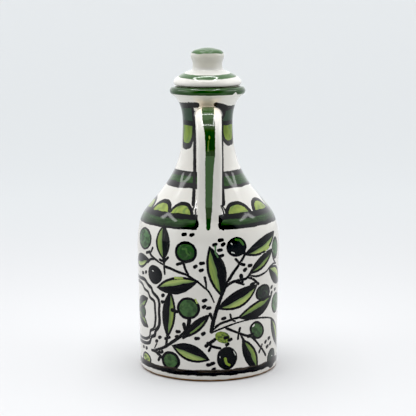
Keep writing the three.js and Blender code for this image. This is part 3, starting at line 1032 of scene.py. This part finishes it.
class Shader:
    """A node tree that is written as expressions."""

    def __init__(self, tree):
        self.tree = tree

    def node(self, kind, settings=None, sockets=None, output=0):
        """Adds a node with its settings and the values or links of its sockets, and returns an output."""
        made = self.tree.nodes.new(kind)
        for name, value in (settings or {}).items():
            setattr(made, name, value)
        for key, value in (sockets or {}).items():
            self.feed(made.inputs[key], value)
        return Value(self, made.outputs[output])

    def feed(self, socket, value):
        if isinstance(value, Value):
            self.tree.links.new(value.socket, socket)
        elif socket.type == "RGBA":
            socket.default_value = (*value[:3], 1)
        else:
            socket.default_value = value

    def axes(self, vector):
        """The three parts of a vector."""
        parts = self.node("ShaderNodeSeparateXYZ", None, {0: vector}).socket.node
        return [Value(self, socket) for socket in parts.outputs]

    def vector(self, x, y, z):
        return self.node("ShaderNodeCombineXYZ", None, {0: x, 1: y, 2: z})

    def stretched(self, vector, x, y, z):
        return self.node("ShaderNodeVectorMath", {"operation": "MULTIPLY"}, {0: vector, 1: (x, y, z)})

    def noise(self, vector, scale, detail=1.0):
        """Noise round 0, mostly between -0.5 and 0.5."""
        made = self.node("ShaderNodeTexNoise", None, {"Vector": vector, "Scale": scale, "Detail": detail})
        return made * 2.0 - 1.0

    def mix(self, share, under, over):
        """Colours mixed by a share from 0 to 1."""
        return self.node("ShaderNodeMix", {"data_type": "RGBA"}, {0: share, 6: under, 7: over}, 2)

    def cover(self, depth, soft=0.14):
        """1 where a depth in millimetres is above 0, with a soft edge."""
        return self.node("ShaderNodeMath", {"operation": "MULTIPLY_ADD", "use_clamp": True},
                         {0: depth, 1: 1 / soft, 2: 0.5})

    def ramp(self, value, low, high):
        """0 to 1 as value goes from low to high, eased."""
        return self.node("ShaderNodeMapRange", {"interpolation_type": "SMOOTHSTEP"},
                         {"Value": value, "From Min": low, "From Max": high})

    def hypot(self, first, second):
        return (first * first + second * second) ** 0.5


class Glaze(Shader):
    """A glazed material with places in millimetres, painted in layers from the white ground up."""

    def __init__(self, name, colours):
        self.material = bpy.data.materials.new(name)
        self.material.use_nodes = True
        super().__init__(self.material.node_tree)
        place = self.node("ShaderNodeTexCoord", None, None, "Object")
        self.place = self.node("ShaderNodeVectorMath", {"operation": "SCALE"}, {0: place, "Scale": 1 / MM})
        self.x, self.y, self.z = self.axes(self.place)
        self.radius = self.hypot(self.x, self.y)
        self.slow = self.noise(self.place, 0.14)
        self.grain = self.noise(self.place, 0.9, 2.0)
        self.streak = self.noise(self.stretched(self.place, 0.12, 0.12, 1.1), 1.0, 2.0)
        cloud = self.ramp(self.noise(self.place, 0.035, 3.0), -0.5, 0.6)
        speck = self.ramp(self.noise(self.place, 1.4, 2.0), 0.42, 0.6) * 0.35
        self.colour = self.mix(most(cloud * 0.7, speck), colours.ground, colours.ground_shade)
        self.roughness = colours.roughness

    def paint(self, share, colour):
        """Lays a colour over the layers so far, by a share from 0 to 1."""
        self.colour = self.mix(share, self.colour, colour)

    def attribute(self, name, output="Vector"):
        return self.node("ShaderNodeAttribute", {"attribute_name": name}, None, output)

    def mark(self, layer):
        """The place and the size of a layer's brush marks, each as three numbers."""
        return self.axes(self.attribute(f"{layer}_place")), self.axes(self.attribute(f"{layer}_size"))

    def fill(self, layer):
        return self.attribute(f"{layer}_fill")

    def scatter(self, first, second, seed, detail=1.0):
        """Noise on brush marks that differs from one to the next."""
        return self.noise(self.vector(first, second, seed), 1.0, detail)

    def band(self, low, high):
        """Depth inside a hand-drawn band between two heights."""
        height = self.z + self.slow * 0.8 + self.grain * 0.3
        return least(height - low, high - height)

    def stroke(self, layer):
        """Depth inside the strokes of a layer, and their bristle streaks."""
        (along, across, seed), (full, start_width, end_width) = self.mark(layer)
        share = least(most(along / most(full, 0.01), 0.0), 1.0)
        width = start_width + (end_width - start_width) * share
        beyond = most(-along, along - full, 0.0)
        depth = width - self.hypot(beyond, across) + self.grain * 0.3 + self.slow * 0.2
        return depth, self.scatter(along * 0.12, across * 1.3, seed * 40.0, 2.0)

    def green(self, shade, light):
        """A brushed green that runs thinner in streaks."""
        return self.mix(self.ramp(self.streak + self.slow * 0.5, -0.35, 0.75), shade, light)

    def finish(self, bare=None):
        """Sets the surface: clear glaze over the colour, and rough clay where bare is 1."""
        rough = self.ramp(self.noise(self.place, 0.06, 2.0), -0.4, 0.6) * 0.05 + self.roughness
        ripple = self.noise(self.stretched(self.place, 0.03, 0.03, 0.2), 1.0)
        wave = self.noise(self.place, 0.045) * 0.22 + ripple * 0.05
        if bare is not None:
            rough = rough + bare * 0.7
            wave = wave + bare * self.grain * 0.1
        bump = {"Strength": 1.0, "Distance": MM, "Height": wave}
        surface = self.tree.nodes["Principled BSDF"].inputs
        self.feed(surface["Base Color"], self.colour)
        self.feed(surface["Roughness"], rough)
        self.feed(surface["Normal"], self.node("ShaderNodeBump", None, bump, "Normal"))
        surface["IOR"].default_value = 1.5
        return self.material


def jug_glaze(colours):
    """The jug's glaze, with the brushwork noted on its mesh and the bands that run round it."""
    glaze = Glaze("jug_glaze", colours)
    z, slow, grain = glaze.z, glaze.slow, glaze.grain
    mix, ramp, cover = glaze.mix, glaze.ramp, glaze.cover
    band, scatter, paint = glaze.band, glaze.scatter, glaze.paint
    turn = abs(z.math("ARCTAN2", glaze.x, -glaze.y)) * math.degrees(1)
    off_strap = 1.0 - glaze.attribute("strap_out", "Fac") + grain * 0.4

    # Leaves: an outline, one dark half and one filled half
    (along, across, seed), (half_width, line, side) = glaze.mark("leaf")
    inside = half_width * (1.0 - along * along) - abs(across) + grain * 0.35
    bristle = scatter(along * 1.5, across * 1.4, seed * 40.0, 2.0)
    dark = across * side + 0.35 + slow * 0.8 + bristle * 0.5
    leaf_ink = most(line - abs(inside), least(inside + line, dark))
    leaf_fill = least(inside - 0.15 + slow * 0.6, 0.1 - dark)
    leaf_shade = most(ramp(bristle, -0.3, 0.6) * 0.6, ramp(dark, -2.6, 0.0) * 0.75)
    leaf_colour = mix(leaf_shade, glaze.fill("leaf"), LEAF_GREEN)

    # Olives and petals: an outline and a fill with pools and swirls, which in olives leaves a bare ring
    (right, up, seed), (scale, oval_line, swirl) = glaze.mark("oval")
    out = glaze.hypot(right, up)
    deep = (1.0 - out) * scale + slow * 0.5 + grain * 0.3
    whirl = {"Vector": glaze.vector(right, up, seed * 40.0), "Angle": out * 2.5 + seed * 6.0}
    whirl = glaze.node("ShaderNodeVectorRotate", {"rotation_type": "Z_AXIS"}, whirl)
    curl = ramp(glaze.noise(glaze.stretched(whirl, 1.3, 3.6, 1.0), 1.0), 0.0, 0.6)
    pool = ramp(scatter(right * 2.0, up * 2.0, seed * 70.0), -0.2, 0.3)
    olive = cover(OLIVE_SWIRL - swirl)
    bare_ring = ramp(scatter(right, up, seed * 55.0), 0.05, 0.4) * olive * swirl * 1.6
    oval_ink = least(deep, oval_line - deep)
    oval_fill = deep - most(oval_line, 0.0) * (bare_ring + 0.6)
    swirled = most(swirl - 0.1, 0.0)
    pooled = pool * (olive * 0.75 + 0.25) * swirled * 2.0
    oval_colour = mix(least(pooled, 0.8), glaze.fill("oval"), SHADE_GREEN)
    oval_colour = mix(least(curl * swirled * 1.5, 0.7), oval_colour, SWIRL_GREEN)

    # Bands round the shoulder and the neck, whose lower lines lean
    lean = ramp(glaze.x, -14.0, 14.0)
    ends = (turn - SHOULDER_END) * SHOULDER_DEGREE + grain * 0.5
    on_shoulder = SHOULDER_REACH - glaze.radius
    shoulder_green = least(band(*SHOULDER_FILL), ends - 0.5, on_shoulder)
    low, high = SHOULDER_UNDERLINE
    underline = least(z + slow - low, high + lean * 0.9 - z - slow - grain * 0.3)
    shoulder_lines = most(underline, band(*SHOULDER_LINE), 1.1 - ends)
    shoulder_ink = least(band(*SHOULDER_BAND), ends, on_shoulder, shoulder_lines)
    on_neck = NECK_REACH - glaze.radius
    neck_green = least(band(*NECK_FILL), on_neck)
    low, high = NECK_UNDERLINE
    underline = least(z + slow * 0.8 - low, high - lean * 1.7 - z - slow * 0.8 - grain * 0.3)
    neck_ink = least(most(band(*NECK_LINE), underline), on_neck)

    # The field under the flare, the rim and the foot
    field_ends = least((turn - FIELD_END) * NECK_DEGREE + grain * 0.3, off_strap)
    field_green = least(band(*FIELD_FILL), field_ends)
    field_ink = least(band(*FIELD_LINE), field_ends)
    notch = most(NOTCH_DEPTH - abs(turn - NOTCH_TURN) * NECK_DEGREE, 0.0) * cover(glaze.x)
    rim_green = least(z - BEAD_LOW - notch, glaze.radius - BEAD_INNER) + slow * 0.3
    foot_ink = band(*FOOT_BAND) + glaze.streak * 0.8

    # Strokes, and touches of colour over them
    stroke_ink, stroke_bristle = glaze.stroke("stroke")
    line_ink, _ = glaze.stroke("line")
    stroke_ink = least(most(stroke_ink, line_ink), most(off_strap, ROOT_TOP - z))
    touch, touch_bristle = glaze.stroke("touch")
    gleam, _ = glaze.stroke("gleam")

    # Painted light: a lighter ground on the flare, which faces down, and a warm lighter ground above the
    # strap against the shade that the strap and the bead cast there
    paint(ramp(z, 158.0, 172.0), FLARE_PAINTED_LIGHT)
    # Painted light at the front, between the strap's upper root and the bead
    painted_light_share = least(ramp(-glaze.y, 4.0, 14.0), ramp(10.0 - abs(glaze.x), 0.0, 7.0))
    painted_light_share = least(painted_light_share, ramp(z, 163.0, 169.0), ramp(178.0 - z, 0.0, 5.0))
    paint(painted_light_share * 0.95, STRAP_TOP_PAINTED_LIGHT)

    # Fills, and the greens of the bands
    paint(cover(leaf_fill, 0.3) * 0.95, leaf_colour)
    paint(cover(oval_fill), oval_colour)
    band_green = mix(cover(neck_green), colours.band_green, colours.neck_green)
    low_edge = ramp(101.8 - z - slow, 0.0, 3.0) * 0.75
    band_colour = mix(low_edge, glaze.green(band_green, BAND_LIGHT), BAND_EDGE)
    paint(cover(most(shoulder_green, neck_green)), band_colour)
    rim_colour = glaze.green(colours.rim_green, RIM_LIGHT)
    rim_colour = mix(ramp(176.0 - z, 0.0, 1.0), rim_colour, FIELD_GREEN)
    paint(cover(most(field_green, rim_green)), rim_colour)

    # Ink, which is greyer higher up and thinner where the brush ran dry, then touches and bare clay
    ink = cover(most(leaf_ink, oval_ink, shoulder_ink, neck_ink, field_ink, stroke_ink))
    leaf_dry = ramp(bristle, 0.1, 0.8) * cover(inside + line)
    dry = most(leaf_dry, ramp(stroke_bristle, 0.2, 0.8) * cover(stroke_ink))
    thin = most(dry, ramp(z, 114.0, 124.0) * 0.7)
    paint(ink * (1.0 - dry * 0.04), mix(thin, colours.ink, colours.thin_ink))
    thin = ramp(z + glaze.streak * 3.0, 5.6, 8.4) * 0.8
    paint(cover(foot_ink, 0.4), mix(thin, colours.ink, colours.foot_ink))
    touch_shade = ramp(touch_bristle, -0.2, 0.8) * 0.4
    paint(cover(touch), mix(touch_shade, glaze.fill("touch"), LEAF_GREEN))
    paint(cover(gleam, 0.4) * 0.8, glaze.fill("gleam"))
    bare = cover(BARE_TOP - z + slow * 0.5, 0.5)
    paint(bare, colours.clay)
    return glaze.finish(bare)


def lid_glaze(colours):
    """The lid's glaze, with a green ring on its slope, a green top to its knob, and painted shade on the
    upper dome and the knob, darkest at the knob's front.
    """
    glaze = Glaze("lid_glaze", colours)
    z, slow = glaze.z, glaze.slow
    low, high = LID_RING
    reach = glaze.hypot(glaze.x, glaze.y + LID_RING_FORWARD) + slow * 0.3 + glaze.grain * 0.2
    ring_green = least(reach - low, high - reach, LID_RING_TOP - z)
    cap_green = z - CAP_LOW + slow * 0.8
    # Painted shade: the upper dome and the knob, which face up, are painted darker
    glaze.paint(glaze.ramp(z, 189.0, 192.0) * 0.8, DOME_PAINTED_SHADE)
    # Painted shade: the knob is painted darker towards its front
    knob_painted_shade = glaze.ramp(-glaze.y, 5.5, 9.5) * 0.5 + 0.35
    glaze.paint(glaze.ramp(z, 193.5, 196.0) * knob_painted_shade, KNOB_PAINTED_SHADE)
    glaze.paint(glaze.cover(most(ring_green, cap_green)), glaze.green(colours.lid_green, LID_LIGHT))
    return glaze.finish()


# Operators

class OILJUG_OT_jug(bpy.types.Operator):
    """Builds the thrown body with its strap handle and brushes its decoration"""

    bl_idname = "oiljug.jug"
    bl_label = "Jug"

    def execute(self, context):
        settings = context.scene.oil_jug
        outline = body_outline(settings.jug)
        jug = turned("oil_jug", outline, JUG_SIDES)
        joined(jug, strap(settings.jug))
        soften_roots(jug, outline, settings.jug.root_softness)
        brush_jug(Canvas(jug.data, outline, strap_stations(settings.jug)))
        jug.data.materials.clear()
        jug.data.materials.append(jug_glaze(settings.glaze))
        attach(jug, "root")
        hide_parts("jug")
        return {"FINISHED"}


class OILJUG_OT_lid(bpy.types.Operator):
    """Builds the knobbed lid that rests on the rim"""

    bl_idname = "oiljug.lid"
    bl_label = "Lid"

    def execute(self, context):
        settings = context.scene.oil_jug
        lid = turned("oil_jug_lid", lid_outline(settings.lid), LID_SIDES)
        lid.data.materials.append(lid_glaze(settings.glaze))
        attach(lid, "root")
        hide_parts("lid")
        return {"FINISHED"}


class OILJUG_OT_stage(bpy.types.Operator):
    """Sets up the white floor, the light box and the camera"""

    bl_idname = "oiljug.stage"
    bl_label = "Stage"

    def execute(self, context):
        scene = context.scene
        sizes = scene.oil_jug.stage
        self.add_floor(sizes)
        self.add_lights(sizes)
        self.add_world(scene, sizes)
        self.add_camera(scene, sizes)
        view = scene.view_settings
        view.view_transform = "Standard"
        view.use_curve_mapping = True
        view.curve_mapping.black_level = (sizes.black_level,) * 3
        view.curve_mapping.update()
        return {"FINISHED"}

    def add_floor(self, sizes):
        bm = bmesh.new()
        bmesh.ops.create_grid(bm, x_segments=1, y_segments=1, size=sizes.floor_size)
        floor = new_object("floor", bm)
        material = bpy.data.materials.new("floor")
        material.use_nodes = True
        shader = Shader(material.node_tree)
        x, y, _ = shader.axes(shader.node("ShaderNodeTexCoord", None, None, "Object"))
        far = shader.ramp(shader.hypot(x, y), *FAR_RANGE) * sizes.far_light
        surface = material.node_tree.nodes["Principled BSDF"].inputs
        shader.feed(surface["Emission Color"], shader.mix(far, (0, 0, 0), FAR_COLOUR))
        surface["Emission Strength"].default_value = 1.0
        surface["Base Color"].default_value = (*sizes.floor_colour, 1)
        surface["Roughness"].default_value = 0.7
        surface["Specular IOR Level"].default_value = 0.1
        floor.data.materials.append(material)

    def add_lights(self, sizes):
        width, depth, strip = *sizes.strip_frame, sizes.strip_width
        for name, x, y, long_x, long_y in (
            ("front", 0, -depth / 2, width, strip), ("back", 0, depth / 2, width, strip),
            ("left", -width / 2, 0, strip, depth), ("right", width / 2, 0, strip, depth),
        ):
            place = (x + STRIP_SHIFT[0], y + STRIP_SHIFT[1], sizes.strip_height)
            power = sizes.strip_power * max(long_x, long_y)
            self.add_light(f"{name} strip", place, Vector((0, 0, -1)), long_x, long_y, power)
        wide, top, rail, post = sizes.side_width, sizes.side_height, sizes.rail_length, sizes.post_length
        for name, side in (("left", -1), ("right", 1)):
            x, inward = side * sizes.side_reach, Vector((-side, 0, 0))
            power = sizes.side_power * rail
            self.add_light(f"{name} rail", (x, RAIL_Y, top), inward, rail, wide, power)
            power = sizes.side_power * post
            self.add_light(f"{name} post", (x, POST_Y, top - post / 2), inward, wide, post, power)
        fill = self.add_light("top fill", FILL_PLACE, FILL_AIM - FILL_PLACE, *FILL_SIZE, sizes.top_fill)
        fill.visible_glossy = False
        fill.visible_camera = False

    def add_light(self, name, place, way, long_x, long_y, power):
        """Adds an area light at a place that shines along way."""
        light = bpy.data.lights.new(name, "AREA")
        light.shape = "RECTANGLE"
        light.size = long_x
        light.size_y = long_y
        light.energy = power
        made = bpy.data.objects.new(name, light)
        made.location = place
        made.rotation_euler = way.to_track_quat("-Z", "Y").to_euler()
        bpy.context.scene.collection.objects.link(made)
        return made

    def add_world(self, scene, sizes):
        world = bpy.data.worlds.new("light box")
        world.use_nodes = True
        scene.world = world
        shader = Shader(world.node_tree)
        _, y, z = shader.axes(shader.node("ShaderNodeTexCoord", None, None, "Generated"))
        inside = sizes.wall_light + shader.ramp(z, *TOP_RANGE) * (sizes.top_light - sizes.wall_light)
        strength = inside + shader.ramp(-y, *FRONT_RANGE) * (sizes.front_light - inside)
        background = world.node_tree.nodes["Background"].inputs
        background["Color"].default_value = (*WALL_COLOUR, 1)
        shader.feed(background["Strength"], strength)

    def add_camera(self, scene, sizes):
        data = bpy.data.cameras.new("camera")
        data.sensor_width = SENSOR
        data.lens = SENSOR / 2 / math.tan(sizes.field_of_view / 2)
        data.clip_start = 0.01
        camera = bpy.data.objects.new("camera", data)
        camera.location = (0, -sizes.camera_distance, sizes.camera_height)
        tilt = Matrix.Rotation(math.pi / 2 - sizes.camera_pitch, 3, "X")
        camera.rotation_euler = (tilt @ Matrix.Rotation(sizes.camera_roll, 3, "Z")).to_euler()
        scene.collection.objects.link(camera)
        scene.camera = camera


class OILJUG_PT_parts(bpy.types.Panel):
    """Oil jug settings and the operators that build it"""

    bl_idname = "OILJUG_PT_parts"
    bl_label = "Oil jug"
    bl_space_type = "VIEW_3D"
    bl_region_type = "UI"
    bl_category = "Oil jug"

    def draw(self, context):
        settings = context.scene.oil_jug
        for operator, group in (("oiljug.jug", settings.jug), ("oiljug.lid", settings.lid),
                                ("oiljug.stage", settings.stage), (None, settings.glaze)):
            box = self.layout.box()
            if operator:
                box.operator(operator)
            for name in group.__annotations__:
                box.prop(group, name)


CLASSES = (
    OILJUG_PG_jug, OILJUG_PG_lid, OILJUG_PG_glaze, OILJUG_PG_stage, OILJUG_PG_settings,
    OILJUG_OT_jug, OILJUG_OT_lid, OILJUG_OT_stage, OILJUG_PT_parts,
)


def register():
    for cls in CLASSES:
        bpy.utils.register_class(cls)
    bpy.types.Scene.oil_jug = PointerProperty(type=OILJUG_PG_settings)


def unregister():
    del bpy.types.Scene.oil_jug
    for cls in reversed(CLASSES):
        bpy.utils.unregister_class(cls)


def main():
    register()
    bpy.ops.oiljug.jug()
    bpy.ops.oiljug.lid()
    bpy.ops.oiljug.stage()


if __name__ == "__main__":
    main()
